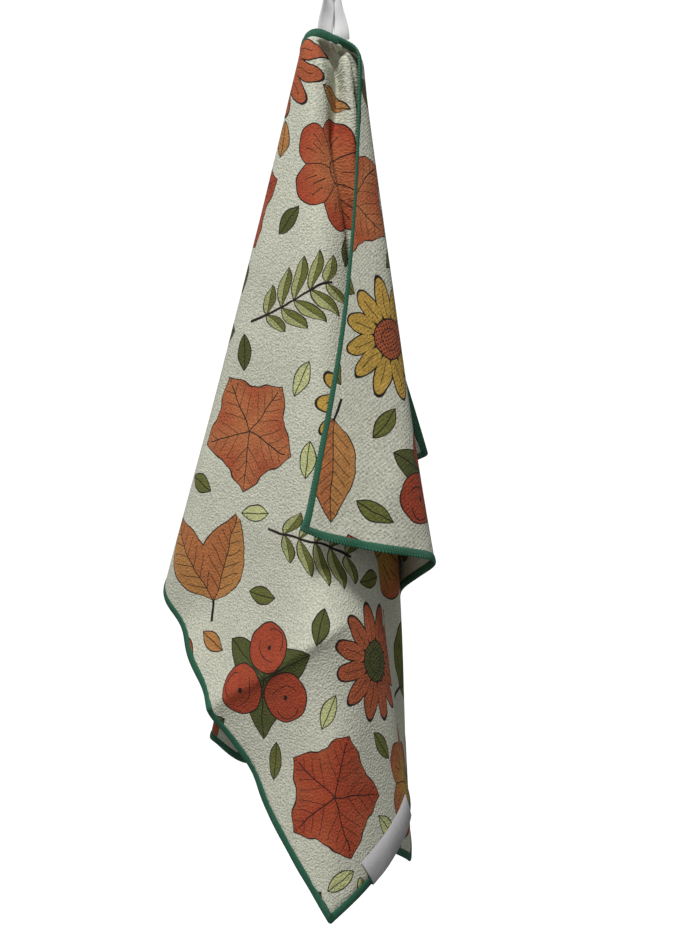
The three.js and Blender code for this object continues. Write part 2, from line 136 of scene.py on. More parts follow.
# Where the cloth is pulled off the even fan: the middle and the spread of the pull on the flat
# towel, and how far it goes right, back and up.
Pull = namedtuple("Pull", "row across down wide deep x y z")
PULLS = [
    Pull("left of the arch rises", -0.012, 0, 0.0110, 0.0050, 0, -0.0016, 0.0014),
    Pull("side above the ridge", -0.330, 0.237, 0.060, 0.019, 0.0078, 0, 0),
    Pull("side at the ridge", -0.330, 0.303, 0.045, 0.014, -0.0045, 0, 0),
    Pull("side below the ridge", -0.330, 0.346, 0.050, 0.018, 0.0034, 0, 0),
    Pull("flap sags", 0.330, 0.065, 0.150, 0.060, 0, 0, -0.0070),
    Pull("flap corner curls", 0.333, -0.002, 0.011, 0.011, -0.0017, -0.002, 0.0038),
    Pull("hidden front layer drops", 0.044, 0.457, 0.040, 0.090, -0.001, 0, -0.0190),
    Pull("hidden back layer rises", 0.150, 0.457, 0.045, 0.110, 0, 0, 0.0100),
    Pull("back corner rises", -0.330, 0, 0.120, 0.090, 0, 0, 0.0040),
    Pull("lowest corner rises", -0.330, 0.457, 0.040, 0.040, 0, 0, 0.0020),
    Pull("front side leans left", 0.315, 0, 0.085, 0.060, -0.0045, 0, 0),
    Pull("seam leans left", -0.024, 0.075, 0.026, 0.036, -0.0050, 0, 0),
    Pull("strip widens", -0.002, 0.075, 0.014, 0.048, 0.0044, -0.0005, 0),
]

# The valley under the hem, at heights from the loop's foot: where the cloth leaves the left fold,
# where it reaches the valley's floor, where the right fold stands up from it, and how far back the
# floor lies. The layers behind give way less, and the hem doesn't give way.
Valley = namedtuple("Valley", "z left floor right back")
VALLEY = [
    Valley(-0.0740, 0.0020, 0.0050, 0.0084, 0),
    Valley(-0.0520, -0.0008, 0.0036, 0.0070, 0.0100),
    Valley(-0.0360, -0.0044, 0.0020, 0.0060, 0.0130),
    Valley(-0.0230, -0.0060, 0.0010, 0.0054, 0.0130),
    Valley(-0.0175, -0.0072, -0.0020, 0.0068, 0.0120),
    Valley(-0.0125, -0.0088, -0.0056, 0.0102, 0.0100),
    Valley(-0.0030, -0.0108, -0.0078, 0.0120, 0.0100),
]

# The power by which the valley's left side falls away, how wide its right wall is to each side,
# between which depths the layers give way less and less, and how far down from the upper edge the
# cloth starts to give way and gives way in full
VALLEY_DEEPENS = 2.2
VALLEY_WALL = 0.0026
PRESSED_LAYERS = (-0.007, 0.020)
HEM_HOLDS = 0.0058
HEM_LETS_GO = 0.0078

# Slow waves that leave no stretch quite even: their flat direction and length, depth and start
Wave = namedtuple("Wave", "across down length depth start")
WAVES = [
    Wave(0.8, 0.6, 0.093, 0.00045, 0.4),
    Wave(-0.5, 0.87, 0.061, 0.00030, 2.1),
    Wave(0.26, -0.97, 0.131, 0.00060, 4.0),
    Wave(0.97, -0.22, 0.047, 0.00022, 5.2),
]

# The shorter ripple of the rim, how far in it reaches, and how it slants down the sides
RIPPLE_LENGTH = 0.037
RIPPLE_DEPTH = 0.0006
RIPPLE_REACH = 0.014
RIPPLE_SLANT = 1.3

# The tape's middle line from the loop's foot, and how far its width has turned from side to side
# at 0 to front to back at 90
Tape = namedtuple("Tape", "row x y z turn")
TAPE = [
    Tape("left end", -0.0034, 0.0036, -0.0048, 2),
    Tape("left seam", -0.0033, 0.0027, 0, 6),
    Tape("left leg", -0.0019, 0.0023, 0.011, 28),
    Tape("left neck", -0.0012, 0.0022, 0.020, 50),
    Tape("left eye", -0.0030, 0.0024, 0.0275, 78),
    Tape("top", 0.0016, 0.0026, 0.0324, 90),
    Tape("right eye", 0.0062, 0.0026, 0.0275, 98),
    Tape("right neck", 0.0046, 0.0036, 0.020, 123),
    Tape("right leg", 0.0058, 0.0042, 0.009, 142),
    Tape("right seam", 0.0073, 0.0034, -0.001, 166),
    Tape("right end", 0.0075, 0.0041, -0.0048, 172),
]

# How fine the cloth's net is, its rows closer together near the loop and across the ridge, and what
# share of the binding's width is left free of cloth
FINEST_TURN = 0.5
COLUMNS_A_TURN = 8
ROWS_DOWN = 112
NECK_ROWS = 34
NECK_REACH = 0.036
RIDGE_FAN = math.radians(47)
RIDGE_FAN_SPREAD = math.radians(16)
RIDGE_CROWDING = 3.2
RIDGE_CROWD_WIDTH = 0.018
SAMPLES_A_ROW = 8
CLOTH_STOPS = 0.4

# The binding: its round corners, the form of its section, and the knots along its rim at the back
CORNER_CURVE = 0.0025
CORNER_STEPS = 6
THREADS_A_STITCH = 4
SECTION_POINTS = 12
SECTION_FULLNESS = 0.8
KNOT_AT = math.radians(330)
KNOT_SPREAD = math.radians(35)
KNOT_DEPTH = 0.00035

# The label: its thickness, its room over what it folds round, its seam, turn and fold, and where it
# starts
LABEL_THICK = 0.0004
LABEL_ROOM = 0.0004
LABEL_SEAM = 0.0015
LABEL_TURN = 0.001
LABEL_FOLD = 0.6
LABEL_FROM_CORNER = 0.043
LABEL_STATIONS = 70

# The tape: how finely it is swept, and how it thins at its two edges
TAPE_STATIONS = 160
TAPE_POINTS_WIDE = 9
TAPE_EDGE_THINS = 0.5
TAPE_EDGE_POWER = 6

# The paper sweep round the towel: how far its floor reaches, how it curves up to its top, how far
# below the loop it lies, and how fine it is
FLOOR_REACH = 3.0
SWEEP_CURVE = 1.5
SWEEP_TOP = 5.0
FLOOR_BELOW = 1.0
SWEEP_SIDES = 96

# The lamps, what they point at, and the camera, whose focal length is in pixels of the photograph
Lamp = namedtuple("Lamp", "name place size power")
LAMPS = [
    Lamp("key", (-0.785, -2.18, 3.39), 0.75, 185),
    Lamp("fill", (-1.6, -1.6, 0.1), 1.2, 3),
]
LIT_POINT = Vector((0, 0, -0.3))
ROOM_LIGHT = 0.25
CAMERA_PLACE = (0.0112, -1.0539, -0.3115)
SENSOR_SIZE = 36
FOCAL_PIXELS = 1640
PHOTO_HEIGHT = 933


class TowelSizes(PropertyGroup):
    """The cut and sewn sizes of the towel."""

    long_edge: FloatProperty(
        name="Long edge", description="Length of the towel along its upper and lower edges",
        default=0.660, min=0.3, max=1.2, unit="LENGTH")
    short_edge: FloatProperty(
        name="Short edge", description="Length of the towel along its two sides",
        default=0.457, min=0.2, max=0.9, unit="LENGTH")
    cloth_thick: FloatProperty(
        name="Cloth thickness", description="Thickness of the microfiber cloth",
        default=0.0011, min=0.0005, max=0.003, unit="LENGTH")
    binding_width: FloatProperty(
        name="Binding width", description="How far the sewn binding reaches in from the rim",
        default=0.0054, min=0.002, max=0.012, unit="LENGTH")
    binding_thick: FloatProperty(
        name="Binding thickness", description="Thickness of the binding over both faces",
        default=0.0022, min=0.001, max=0.005, unit="LENGTH")
    stitch_pitch: FloatProperty(
        name="Stitch pitch", description="Distance between the stitches along the binding's rim",
        default=0.0019, min=0.001, max=0.004, unit="LENGTH")
    tape_width: FloatProperty(
        name="Tape width", description="Width of the tape of the hanging loop",
        default=0.010, min=0.004, max=0.02, unit="LENGTH")
    tape_thick: FloatProperty(
        name="Tape thickness", description="Thickness of the tape of the hanging loop",
        default=0.0008, min=0.0004, max=0.002, unit="LENGTH")
    label_length: FloatProperty(
        name="Label length", description="Length of the label along the lower edge",
        default=0.070, min=0.02, max=0.12, unit="LENGTH")
    label_height: FloatProperty(
        name="Label height", description="How far the label reaches up each face from the rim",
        default=0.017, min=0.008, max=0.03, unit="LENGTH")


class TowelColours(PropertyGroup):
    """The dyed and printed colours of the towel."""

    ground: FloatVectorProperty(
        name="Ground", description="Undyed ground of the printed cloth",
        subtype="COLOR", size=3, default=(0.556, 0.563, 0.455), min=0, max=1)
    binding: FloatVectorProperty(
        name="Binding", description="Thread of the binding",
        subtype="COLOR", size=3, default=(0.022, 0.118, 0.066), min=0, max=1)
    tape: FloatVectorProperty(
        name="Tape", description="Twill tape of the hanging loop",
        subtype="COLOR", size=3, default=(0.90, 0.89, 0.89), min=0, max=1)
    label: FloatVectorProperty(
        name="Label", description="Satin of the bare label",
        subtype="COLOR", size=3, default=(0.44, 0.43, 0.44), min=0, max=1)


def smooth(value, low, high):
    """0 below low, 1 above high, and a smooth slope between them."""
    t = np.clip((value - low) / (high - low), 0, 1)
    return t * t * (3 - 2 * t)


def spline(at, value, where):
    """Natural cubic splines through (at, value) along the first axis, read at where."""
    bend = np.zeros_like(value)
    carry = np.zeros_like(value)
    last = len(at) - 1
    for i in range(1, last):
        before = (at[i] - at[i - 1])[:, None]
        after = (at[i + 1] - at[i])[:, None]
        turn = (value[i + 1] - value[i]) / after - (value[i] - value[i - 1]) / before
        pivot = 2 * (before + after) - before * carry[i - 1]
        carry[i] = after / pivot
        bend[i] = (6 * turn - before * bend[i - 1]) / pivot
    for i in range(last - 1, 0, -1):
        bend[i] -= carry[i] * bend[i + 1]
    slot = np.clip((at < where).sum(axis=0) - 1, 0, last - 1)
    each = np.arange(len(where))
    span = at[slot + 1, each] - at[slot, each]
    b = ((where - at[slot, each]) / span)[:, None]
    a = 1 - b
    curve = (a**3 - a) * bend[slot, each] + (b**3 - b) * bend[slot + 1, each]
    return a * value[slot, each] + b * value[slot + 1, each] + curve * (span**2)[:, None] / 6


def on_ring(radius, fan, at_neck=False):
    """Where the cloth hangs at these distances from the loop and these fan angles.

    at_neck keeps every fold line at its neck angle.
    """
    fold = {name: np.array([getattr(f, name) for f in FOLDS])[:, None] for name in Fold._fields[1:]}
    reach = (radius - NECK_RADIUS) / (FAR_RADIUS - NECK_RADIUS)
    bow = 4 * reach * (1 - reach)
    nearness = np.ones_like(radius) if at_neck else np.minimum(NECK_RADIUS / radius, 1)
    low = smooth(radius, SWING_START, SWING_END)
    x = fold["nx"] + (fold["x"] - fold["nx"]) * reach + fold["bow_x"] * bow + fold["swing"] * low
    y = fold["ny"] + (fold["y"] - fold["ny"]) * reach + fold["bow_y"] * bow
    aside = (x - fold["nx"]) ** 2 + (y - fold["ny"]) ** 2
    z = -fold["drop"] - np.sqrt(np.maximum((radius - NECK_RADIUS) ** 2 - aside, 0))
    angles = np.radians(fold["fan"] + (fold["neck_fan"] - fold["fan"]) * nearness)
    return spline(angles, np.stack([x, y, z], axis=-1), fan)


def on_crown(radius, fan):
    """Inside the neck ring the cloth leaves the tilted upper edge and curves down to the ring."""
    part = (radius / NECK_RADIUS)[:, None]
    neck = np.full_like(radius, NECK_RADIUS)
    rim = on_ring(neck, fan)
    down = on_ring(neck + SLOPE_STEP, fan, at_neck=True) - rim
    down /= np.linalg.norm(down, axis=1)[:, None]
    tilted = fan - EDGE_TILT
    out = np.stack([-np.cos(tilted), 0 * tilted, -np.sin(tilted)], axis=1)
    middle = np.array([0, 0, -EDGE_DIP])
    rise = part**3 * (10 - 15 * part + 6 * part**2)
    return (
        middle * (1 - rise)
        + out * CROWN_REACH * (part - 6 * part**3 + 8 * part**4 - 3 * part**5)
        + rim * rise
        + down * CROWN_REACH * (7 * part**4 - 4 * part**3 - 3 * part**5)
    )


def creased(across, down):
    """How far the ridges and troughs push flat places back."""
    push = np.zeros_like(across)
    for crease in CREASES:
        start = np.array(crease.start)
        run = np.array(crease.end) - start
        length = np.hypot(*run)
        along = ((across - start[0]) * run[0] + (down - start[1]) * run[1]) / length
        beside = ((down - start[1]) * run[0] - (across - start[0]) * run[1]) / length
        fade = 1 - smooth(along, length * FADES_OUT[0], length * FADES_OUT[1])
        fade *= smooth(along, -length * FADES_IN, 0)
        width = np.where(beside < 0, crease.above, crease.below)
        off = np.abs(beside) / width
        if crease.round:
            off = np.sqrt((np.hypot(beside, crease.round) - crease.round) / width)
        push -= fade * crease.forward * np.exp(-(off ** 2))
    return push


def pulled(across, down):
    """How far the pulls move flat places right, back and up."""
    move = np.zeros((len(across), 3))
    for pull in PULLS:
        share = np.exp(-(((across - pull.across) / pull.wide) ** 2)
                       - ((down - pull.down) / pull.deep) ** 2)
        move += share[:, None] * np.array([pull.x, pull.y, pull.z])
    return move


def pressed(place, down):
    """How far the valley under the hem pushes hanging places back."""
    x, y, z = place.T
    rows = np.array(VALLEY).T
    left, floor, right, back = (np.interp(z, rows[0], row) for row in rows[1:])
    share = ((x - left) / (floor - left)).clip(0, 1) ** VALLEY_DEEPENS
    share *= 1 - smooth(x, right - VALLEY_WALL, right + VALLEY_WALL)
    share *= smooth(down, HEM_HOLDS, HEM_LETS_GO) * (1 - smooth(y, *PRESSED_LAYERS))
    return back * share


def wavy(across, down):
    """How far the slow waves, and the shorter ripple of the rim, push flat places back."""
    push = np.zeros_like(across)
    for wave in WAVES:
        run = (across * wave.across + down * wave.down) * 2 * np.pi / wave.length
        push += wave.depth * np.sin(run + wave.start)
    sizes = bpy.context.scene.towel_sizes
    to_side, to_lower = sizes.long_edge / 2 - abs(across), sizes.short_edge - down
    inwards = np.minimum(to_side, to_lower)
    ripple = np.sin((across + down * RIPPLE_SLANT) * 2 * np.pi / RIPPLE_LENGTH)
    return push + RIPPLE_DEPTH * ripple * np.exp(-np.maximum(inwards, 0) / RIPPLE_REACH)


def hang(flat):
    """Where flat places hang, as an array of points."""
    across, down = flat[:, 0], flat[:, 1]
    radius, fan = np.hypot(across, down), np.arctan2(down, -across)
    near = radius < NECK_RADIUS
    place = np.empty((len(flat), 3))
    if near.any():
        place[near] = on_crown(radius[near], fan[near])
    if not near.all():
        place[~near] = on_ring(radius[~near], fan[~near])
    place[:, 1] += pressed(place, down)
    place += pulled(across, down)
    place[:, 1] += creased(across, down)
    place[:, 1] += wavy(across, down) * smooth(radius, NECK_RADIUS, WAVES_FULL)
    return place + LOOP_FOOT


def facing(flat):
    """The directions out of the printed face, from the cloth a little to each side."""
    low = flat.copy()
    low[:, 1] = np.maximum(low[:, 1], SLOPE_STEP)
    step_across, step_down = np.array([SLOPE_STEP, 0]), np.array([0, SLOPE_STEP])
    side = hang(low + step_across) - hang(low - step_across)
    fall = hang(low + step_down) - hang(low - step_down)
    normal = -np.cross(side, fall)
    return normal / np.linalg.norm(normal, axis=1)[:, None]


def lifted(flat, lift):
    """Flat places lifted off the middle of the cloth, towards the printed face."""
    return hang(flat) + facing(flat) * np.asarray(lift)[:, None]


def mesh_piece(name, points, faces, flat, material):
    """A mesh object whose points keep three numbers for its finish, such as flat place and side."""
    mesh = bpy.data.meshes.new(name)
    mesh.from_pydata(points.tolist(), [], faces)
    mesh.validate()
    mesh.polygons.foreach_set("use_smooth", [True] * len(mesh.polygons))
    place = mesh.attributes.new("flat_place", "FLOAT_VECTOR", "POINT")
    place.data.foreach_set("vector", np.asarray(flat, np.float32).ravel())
    mesh.update()
    piece = bpy.data.objects.new(name, mesh)
    piece.data.materials.append(material)
    bpy.context.scene.collection.objects.link(piece)
    return piece


def swept_faces(stations, sides, closed):
    """Faces of a body swept through stations, joined up where closed and capped where not."""
    spans = stations if closed else stations - 1
    faces = []
    for i in range(spans):
        here, there = i * sides, (i + 1) % stations * sides
        for k in range(sides):
            other = (k + 1) % sides
            faces.append((here + k, here + other, there + other, there + k))
    if not closed:
        faces.append(tuple(reversed(range(sides))))
        faces.append(tuple(range((stations - 1) * sides, stations * sides)))
    return faces


def column_fans(corners):
    """The fan angles of the net's columns, closer together where the cloth turns tightly."""
    fans = []
    for here, there in zip(FOLDS, FOLDS[1:]):
        turns = max(math.ceil((there.fan - here.fan) / FINEST_TURN), COLUMNS_A_TURN)
        fans += [math.radians(here.fan + (there.fan - here.fan) * k / turns) for k in range(turns)]
    fans = np.array(fans + [math.pi])
    for corner in corners:
        fans[np.abs(fans - corner).argmin()] = corner
    return fans


def crowded_rows(length, fan):
    """Distances from the loop of one column's rows, closer together where it crosses the ridge."""
    start, end = np.array(CREASES[0].start), np.array(CREASES[0].end)
    run = end - start
    ray = np.array([-math.cos(fan), math.sin(fan)])
    crossing = (start[0] * run[1] - start[1] * run[0]) / (ray[0] * run[1] - ray[1] * run[0])
    beyond = abs(fan - RIDGE_FAN) / RIDGE_FAN_SPREAD
    at = np.linspace(NECK_REACH, length, ROWS_DOWN * SAMPLES_A_ROW)
    crowd = RIDGE_CROWDING * math.exp(-(beyond ** 4))
    density = 1 + crowd * np.exp(-(((at - crossing) / RIDGE_CROWD_WIDTH) ** 2))
    count = np.concatenate([[0], np.cumsum((density[1:] + density[:-1]) / 2)])
    share = (np.arange(ROWS_DOWN - NECK_ROWS) + 1) / (ROWS_DOWN - NECK_ROWS)
    return np.interp(share * count[-1], count, at)


def cloth_net(sizes):
    """The flat places of the cloth's net: an apex under the loop, then columns of rows."""
    tuck = sizes.binding_width * CLOTH_STOPS
    half, deep = sizes.long_edge / 2 - tuck, sizes.short_edge - 2 * tuck
    fans = column_fans((math.atan2(deep, half), math.atan2(deep, -half)))
    to_side = half / np.abs(np.cos(fans)).clip(1e-9)
    to_lower = deep / np.sin(fans).clip(1e-9)
    length = np.minimum(to_side, to_lower)
    neck = NECK_REACH * (np.arange(NECK_ROWS) + 1) / NECK_ROWS
    rows = np.array([np.concatenate([neck, crowded_rows(reach, fan)])
                     for reach, fan in zip(length, fans)])
    across = -np.cos(fans)[:, None] * rows
    down = tuck + np.sin(fans)[:, None] * rows
    net = np.stack([across, down], axis=-1).reshape(-1, 2)
    return np.vstack([[0, tuck], net]), len(fans)


def cloth_faces(columns):
    """Faces of the net's printed side, its back, and the rim between them."""
    size = 1 + columns * ROWS_DOWN
    last = ROWS_DOWN - 1
    faces = []

    def at(column, row):
        return 1 + column * ROWS_DOWN + row

    for j in range(columns - 1):
        faces.append((0, at(j, 0), at(j + 1, 0)))
        faces.append((size, size + at(j + 1, 0), size + at(j, 0)))
        for i in range(last):
            ring = (at(j, i), at(j, i + 1), at(j + 1, i + 1), at(j + 1, i))
            faces.append(ring)
            faces.append(tuple(size + k for k in reversed(ring)))
        faces.append((at(j, last), size + at(j, last), size + at(j + 1, last), at(j + 1, last)))
    for column, ahead in ((0, True), (columns - 1, False)):
        edge = [0] + [at(column, i) for i in range(ROWS_DOWN)]
        for here, there in zip(edge, edge[1:]):
            face = (here, size + here, size + there, there)
            faces.append(face if ahead else tuple(reversed(face)))
    return faces


class TOWEL_OT_cloth(Operator):
    """Hang the printed cloth in its folds"""

    bl_idname = "towel.cloth"
    bl_label = "Cloth"

    def execute(self, context):
        sizes = context.scene.towel_sizes
        flat, columns = cloth_net(sizes)
        normal, middle = facing(flat), hang(flat)
        half = sizes.cloth_thick / 2
        points = np.vstack([middle + normal * half, middle - normal * half])
        sides = [np.column_stack([flat, np.full(len(flat), side)]) for side in (1, -1)]
        cloth = mesh_piece("printed_cloth", points, cloth_faces(columns), np.vstack(sides),
                           printed_cloth(context.scene.towel_colours))
        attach(cloth, "root")
        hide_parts("towel_cloth")
        return {"FINISHED"}


def rim_path(sizes, step):
    """Flat places evenly along the towel's rim with its corners a little round."""
    half, deep, curve = sizes.long_edge / 2, sizes.short_edge, CORNER_CURVE
    corners = [(half - curve, deep - curve, 0), (-half + curve, deep - curve, 90),
               (-half + curve, curve, 180), (half - curve, curve, 270)]
    path = []
    for x, y, quarter in corners:
        for k in range(CORNER_STEPS + 1):
            a = math.radians(quarter + 90 / CORNER_STEPS * k)
            path.append((x + curve * math.cos(a), y + curve * math.sin(a)))
    path = np.array(path + path[:1])
    along = np.concatenate([[0], np.cumsum(np.hypot(*np.diff(path, axis=0).T))])
    stations = round(along[-1] / step)
    at = np.linspace(0, along[-1], stations, endpoint=False)
    return np.stack([np.interp(at, along, path[:, i]) for i in (0, 1)], axis=1), at


class TOWEL_OT_binding(Operator):
    """Sew the binding round the rim of the cloth"""

    bl_idname = "towel.binding"
    bl_label = "Binding"

    def execute(self, context):
        sizes = context.scene.towel_sizes
        step = sizes.stitch_pitch / THREADS_A_STITCH
        rim, along = rim_path(sizes, step)
        width = sizes.binding_width
        inner = np.column_stack([
            np.clip(rim[:, 0], width - sizes.long_edge / 2, sizes.long_edge / 2 - width),
            np.clip(rim[:, 1], width, sizes.short_edge - width),
        ])
        turn = np.arange(SECTION_POINTS) * 2 * np.pi / SECTION_POINTS
        reach = 0.5 + 0.5 * np.sign(np.cos(turn)) * np.abs(np.cos(turn)) ** SECTION_FULLNESS
        lift = sizes.binding_thick / 2 * np.sin(turn)
        flat = inner[:, None] + (rim - inner)[:, None] * reach[None, :, None]
        lifts = np.broadcast_to(lift, flat.shape[:2]).copy()
        stitch = 0.5 - 0.5 * np.cos(2 * np.pi * along / sizes.stitch_pitch)
        knot = np.exp(-(((turn - KNOT_AT) / KNOT_SPREAD) ** 2))
        lifts -= KNOT_DEPTH * stitch[:, None] * knot
        points = lifted(flat.reshape(-1, 2), lifts.ravel())
        marks = np.stack([np.broadcast_to(along[:, None], lifts.shape),
                          np.broadcast_to(reach, lifts.shape),
                          np.broadcast_to(np.sign(lift), lifts.shape)], axis=-1)
        faces = swept_faces(len(rim), SECTION_POINTS, True)
        binding = mesh_piece("rim_binding", points, faces, marks.reshape(-1, 3),
                             binding_thread(sizes.stitch_pitch, context.scene.towel_colours))
        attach(binding, "root")
        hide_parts("edge_binding")
        return {"FINISHED"}


class TOWEL_OT_label(Operator):
    """Fold the bare label over the lower edge"""

    bl_idname = "towel.label"
    bl_label = "Label"

    def execute(self, context):
        sizes = context.scene.towel_sizes
        over_binding = sizes.binding_thick / 2 + LABEL_ROOM
        over_cloth = sizes.cloth_thick / 2 + LABEL_ROOM
        top = sizes.short_edge - sizes.label_height
        seam = sizes.short_edge - sizes.binding_width - LABEL_SEAM
        rim = sizes.short_edge + LABEL_ROOM
        turn, fold = rim - LABEL_TURN, over_binding * LABEL_FOLD
        inside = [(top, over_cloth), (seam, over_binding), (turn, over_binding), (rim, fold),
                  (rim, -fold), (turn, -over_binding), (seam, -over_binding), (top, -over_cloth)]
        skin = [(down + (LABEL_THICK if down == rim else 0), lift + math.copysign(LABEL_THICK, lift))
                for down, lift in inside]
        ring = np.array(skin + inside[::-1])
        start = -sizes.long_edge / 2 + LABEL_FROM_CORNER
        across = np.linspace(start, start + sizes.label_length, LABEL_STATIONS)
        flat = np.stack(np.broadcast_arrays(across[:, None], ring[None, :, 0]), axis=-1)
        lifts = np.broadcast_to(ring[:, 1], flat.shape[:2])
        points = lifted(flat.reshape(-1, 2), lifts.ravel())
        marks = np.concatenate([flat, lifts[..., None]], axis=-1).reshape(-1, 3)
        faces = swept_faces(len(across), len(ring), False)
        label = mesh_piece("bare_label", points, faces, marks, label_satin(context.scene.towel_colours))
        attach(label, "root")
        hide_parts("side_label")
        return {"FINISHED"}


class TOWEL_OT_loop(Operator):
    """Sew the tape loop behind the middle of the upper edge"""

    bl_idname = "towel.loop"
    bl_label = "Hanging loop"

    def execute(self, context):
        sizes = context.scene.towel_sizes
        knots = np.array([(t.x, t.y, t.z) for t in TAPE])
        turns = np.array([t.turn for t in TAPE], float)
        chord = np.sqrt(np.linalg.norm(np.diff(knots, axis=0), axis=1))
        at = np.concatenate([[0], np.cumsum(chord)])
        where = np.linspace(0, at[-1], TAPE_STATIONS)
        rows = np.broadcast_to(at[:, None], (len(at), TAPE_STATIONS))
        values = np.column_stack([knots, turns])
        values = np.broadcast_to(values[:, None, :], (len(at), TAPE_STATIONS, 4))
        line = spline(rows, values.copy(), where)
        middle, turn = line[:, :3], np.radians(line[:, 3])
        along = np.gradient(middle, axis=0)
        along /= np.linalg.norm(along, axis=1)[:, None]
        wide = np.stack([np.cos(turn), np.sin(turn), 0 * turn], axis=1)
        wide -= along * (wide * along).sum(axis=1)[:, None]
        wide /= np.linalg.norm(wide, axis=1)[:, None]
        thick = np.cross(wide, along)
        across = np.linspace(-1, 1, TAPE_POINTS_WIDE)
        ring = [(a, 1 - TAPE_EDGE_THINS * abs(a) ** TAPE_EDGE_POWER) for a in across]
        ring += [(a, -t) for a, t in reversed(ring)]
        ring = np.array(ring)
        points = (middle[:, None]
                  + wide[:, None] * ring[None, :, 0:1] * sizes.tape_width / 2
                  + thick[:, None] * ring[None, :, 1:2] * sizes.tape_thick / 2)
        length = np.concatenate([[0], np.cumsum(np.linalg.norm(np.diff(middle, axis=0), axis=1))])
        marks = np.stack([np.broadcast_to(ring[None, :, 0] * sizes.tape_width / 2, points.shape[:2]),
                          np.broadcast_to(length[:, None], points.shape[:2]),
                          np.broadcast_to(ring[None, :, 1], points.shape[:2])], axis=-1)
        faces = swept_faces(TAPE_STATIONS, len(ring), False)
        loop = mesh_piece("tape_loop", points.reshape(-1, 3) + LOOP_FOOT, faces,
                          marks.reshape(-1, 3), twill_tape(context.scene.towel_colours))
        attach(loop, "root")
        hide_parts("hanging_loop")
        return {"FINISHED"}


class Wire:
    """A number or colour on its way through a finish. Operators on numbers add Math nodes."""

    def __init__(self, finish, socket):
        self.finish = finish
        self.socket = socket

    def __add__(self, other):
        return self.finish.math("ADD", self, other)

    def __radd__(self, other):
        return self.finish.math("ADD", other, self)

    def __sub__(self, other):
        return self.finish.math("SUBTRACT", self, other)

    def __rsub__(self, other):
        return self.finish.math("SUBTRACT", other, self)

    def __mul__(self, other):
        return self.finish.math("MULTIPLY", self, other)

    def __rmul__(self, other):
        return self.finish.math("MULTIPLY", other, self)

    def __truediv__(self, other):
        return self.finish.math("DIVIDE", self, other)

    def __rtruediv__(self, other):
        return self.finish.math("DIVIDE", other, self)

    def __abs__(self):
        return self.finish.math("ABSOLUTE", self)


class Finish:
    """A material, and the nodes that make its colour and relief."""

    def __init__(self, name, **fixed):
        self.material = bpy.data.materials.new(name)
        self.material.use_nodes = True
        self.tree = self.material.node_tree
        self.shader = self.tree.nodes["Principled BSDF"]
        for socket, value in fixed.items():
            self.shader.inputs[socket.replace("_", " ")].default_value = value

    def add(self, kind, settings=None, values=None):
        """Adds a node: its settings first, then the values or links of its sockets."""
        node = self.tree.nodes.new(kind)
        for name, value in (settings or {}).items():
            if name == "stops":
                for stop in value[2:]:
                    node.color_ramp.elements.new(stop[0])
                for element, (position, colour) in zip(node.color_ramp.elements, value):
                    element.position = position
                    element.color = (*colour, 1)
                node.color_ramp.interpolation = "CONSTANT"
            else:
                setattr(node, name, value)
        for name, value in (values or {}).items():
            if isinstance(value, Wire):
                self.tree.links.new(value.socket, node.inputs[name])
            elif isinstance(value, tuple) and len(node.inputs[name].default_value) == 4:
                node.inputs[name].default_value = (*value, 1)
            else:
                node.inputs[name].default_value = value
        return node

    def read(self, node, output):
        """What comes out of a node."""
        return Wire(self, node.outputs[output])

    def math(self, operation, *values, clamp=False):
        """One Math node on one to three numbers."""
        settings = {"operation": operation, "use_clamp": clamp}
        return self.read(self.add("ShaderNodeMath", settings, dict(enumerate(values))), 0)

    def parts(self, vector):
        """The three numbers of a vector or colour."""
        node = self.add("ShaderNodeSeparateXYZ", values={0: vector})
        return [self.read(node, axis) for axis in range(3)]

    def mark(self, name):
        """The three numbers that a mesh keeps at each point under this name."""
        node = self.add("ShaderNodeAttribute", {"attribute_name": name})
        return self.parts(self.read(node, "Vector"))

    def vector(self, *values):
        """A vector of three numbers."""
        return self.read(self.add("ShaderNodeCombineXYZ", values=dict(enumerate(values))), 0)

    def mix(self, share, one, other):
        """A colour between one and other."""
        node = self.add("ShaderNodeMix", {"data_type": "RGBA"}, {0: share, 6: one, 7: other})
        return self.read(node, 2)

    def scaled(self, colour, amount):
        """A colour made lighter or darker."""
        node = self.add("ShaderNodeVectorMath", {"operation": "SCALE"}, {0: colour, "Scale": amount})
        return self.read(node, 0)

    def noise(self, vector, size, detail=2.0):
        """Cloudy noise around 0.5 with features about this size."""
        node = self.add("ShaderNodeTexNoise", values={
            "Vector": vector, "Scale": 1 / size, "Detail": detail})
        return self.read(node, 0)

    def ramp(self, where, stops):
        """The colour of the last stop that lies at or before where."""
        return self.read(self.add("ShaderNodeValToRGB", {"stops": stops}, {0: where}), 0)

    def under(self, value, soft=0.00025):
        """1 where value is below 0, 0 where it is above, with a soft edge."""
        return self.math("MULTIPLY_ADD", value, -1 / soft, 0.5, clamp=True)

    def line(self, value, half_width):
        """1 where value is within half_width of 0."""
        return self.under(abs(value) - half_width)

    def most(self, first, *others):
        """The greatest of several masks."""
        for other in others:
            first = self.math("MAXIMUM", first, other)
        return first

    def wave(self, value, pitch):
        """0 to 1 and back over each pitch."""
        return self.math("SINE", value * (2 * math.pi / pitch)) * 0.5 + 0.5

    def set(self, socket, value):
        """Feeds one of the shader's sockets."""
        self.tree.links.new(value.socket, self.shader.inputs[socket])

    def relief(self, height, depth):
        """Raises the surface by depth where height is 1."""
        bump = self.add("ShaderNodeBump", values={"Height": height, "Distance": depth})
        self.set("Normal", self.read(bump, 0))


